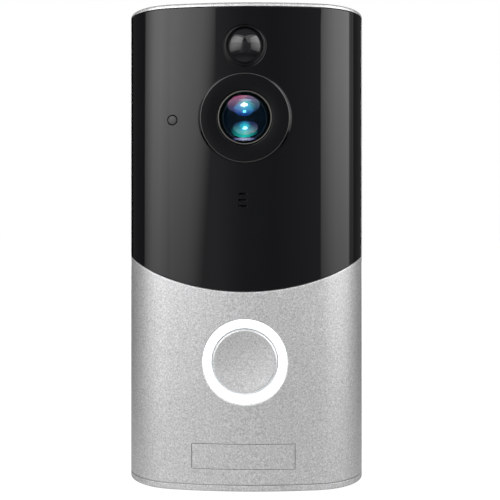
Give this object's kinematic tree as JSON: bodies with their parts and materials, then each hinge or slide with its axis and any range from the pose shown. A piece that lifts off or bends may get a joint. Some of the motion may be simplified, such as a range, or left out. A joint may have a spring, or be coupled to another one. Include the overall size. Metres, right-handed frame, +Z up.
{
  "type": "video doorbell",
  "caption": "Upright video doorbell with a curved dark camera panel over a silver body, a lit round call button, a blank name plate and a hook-on wall bracket.",
  "frame": {"origin": "centre of the four wall-screw holes, on the wall bracket's back face, half way up the body", "axes": "+Z up along the body, +Y into the wall, -Y out of the wall towards the visitor, +X to the right seen from the front"},
  "size_m": [0.064, 0.0342, 0.127],
  "materials": {
    "bracket_plastic": "textured black plastic",
    "black_screw": "black-coated steel",
    "charcoal_plastic": "fine-textured dark grey plastic",
    "satin_silver": "fine-grained satin silver lacquer",
    "piano_black": "polished black plastic, clear to infrared light",
    "steel_screw": "plated steel",
    "foam_black": "closed-cell foam",
    "clear_glass": "clear cover",
    "polished_trim": "polished metal",
    "ring_violet": "dark violet-grey anodised ring",
    "coated_glass": "glass with a violet and cyan anti-glare coat",
    "barrel_black": "black anodised",
    "chip_black": "moulded epoxy",
    "switch_black": "moulded nylon",
    "filter_glass": "infrared-cut coated glass",
    "sensor_chip": "image sensor under cover glass",
    "board_green": "solder mask over fibreglass",
    "led_dark": "infrared lamp",
    "dome_black": "glossy dark polyethylene lens",
    "sensor_metal": "nickel-plated can",
    "light_guide": "smoke-tinted light guide",
    "black_rubber": "soft silicone rubber",
    "gold_plate": "gold-plated",
    "shield_metal": "tin-plated steel",
    "flex_amber": "polyimide flex",
    "glow_ring": "milky diffuser, lit from behind",
    "white_plastic": "white reflector plastic",
    "led_white": "lamp with a phosphor face",
    "satin_cap": "bead-blasted and anodised",
    "plunger_amber": "moulded nylon",
    "cone_fabric": "polyester film cone",
    "magnet_steel": "zinc-plated steel yoke",
    "cell_wrap": "heat-shrunk wrap over a steel can",
    "contact_nickel": "nickel-plated spring steel",
    "reset_orange": "moulded plastic"
  },
  "bodies": {
    "wall_bracket": {"wall_bracket": "bracket_plastic", "security_screw": "black_screw"},
    "unit": {"rear_housing": "charcoal_plastic", "front_shell": "satin_silver", "front_panel": "piano_black", "end_plate": "satin_silver", "end_plate_screws": "steel_screw", "name_plate": "satin_silver", "case_gasket": "foam_black", "case_screws": "steel_screw", "camera_window": "clear_glass", "lens_trim_ring": "polished_trim", "lens_retaining_ring": "ring_violet", "lens_front_element": "coated_glass", "lens_inner_element": "coated_glass", "lens_barrel": "barrel_black", "lens_holder": "chip_black", "image_sensor": "sensor_chip", "camera_board": "board_green", "camera_screws": "steel_screw", "light_baffle": "foam_black", "ir_led_board": "board_green", "ir_leds": "led_dark", "pir_dome": "dome_black", "pir_bezel": "piano_black", "pir_sensor": "sensor_metal", "light_pipe": "light_guide", "light_sensor": "chip_black", "mic_boot": "black_rubber", "mic_capsule": "gold_plate", "sensor_board": "board_green", "front_board_screws": "steel_screw", "main_board": "board_green", "main_board_screws": "steel_screw", "main_chips": "chip_black", "rf_shield": "shield_metal", "wifi_antenna": "gold_plate", "link_flex": "flex_amber", "light_ring": "glow_ring", "ring_reflector": "white_plastic", "ring_leds": "led_white", "button_board": "board_green", "switch_body": "switch_black", "speaker_frame": "switch_black", "speaker_cone": "cone_fabric", "speaker_magnet": "magnet_steel", "speaker_gasket": "foam_black", "battery_cells": "cell_wrap", "battery_contacts": "contact_nickel", "usb_socket": "shield_metal", "terminal_block": "switch_black", "terminal_screws": "gold_plate", "reset_switch": "shield_metal"},
    "bell_button": {"button_cap": "satin_cap"},
    "switch_plunger": {"switch_plunger": "plunger_amber"},
    "reset_button": {"reset_button": "reset_orange"},
    "usb_flap": {"usb_flap": "black_rubber"},
    "battery_door": {"battery_door": "charcoal_plastic"},
    "ir_filter": {"ir_filter_frame": "switch_black", "ir_cut_glass": "filter_glass"}
  },
  "joints": [
    {"name": "unit_lift", "type": "slide", "parent": "wall_bracket", "child": "unit", "axis": [0, 0, 1], "range_m": [0, 0.006]},
    {"name": "bell_press", "type": "slide", "parent": "unit", "child": "bell_button", "axis": [0, 1, 0], "range_m": [0, 0.0006], "stiffness_N_per_m": 500, "springref_m": -0.001},
    {"name": "plunger_press", "type": "slide", "parent": "unit", "child": "switch_plunger", "axis": [0, 1, 0], "range_m": [0, 0.0006]},
    {"name": "reset_press", "type": "slide", "parent": "unit", "child": "reset_button", "axis": [0, -1, 0], "range_m": [0, 0.0005], "stiffness_N_per_m": 400, "springref_m": -0.0008},
    {"name": "flap_hinge", "type": "hinge", "parent": "unit", "child": "usb_flap", "pos_m": [-0.0189, -0.0039, 0.046], "axis": [0, 0, 1], "range_deg": [0, 100]},
    {"name": "door_hinge", "type": "hinge", "parent": "unit", "child": "battery_door", "pos_m": [0, -0.0059, -0.0513], "axis": [-1, 0, 0], "range_deg": [0, 75]},
    {"name": "filter_shift", "type": "slide", "parent": "unit", "child": "ir_filter", "axis": [-1, 0, 0], "range_m": [0, 0.0064]}
  ],
  "couplings": [
    {"joint": "plunger_press", "follows": "bell_press", "ratio": 1}
  ]
}
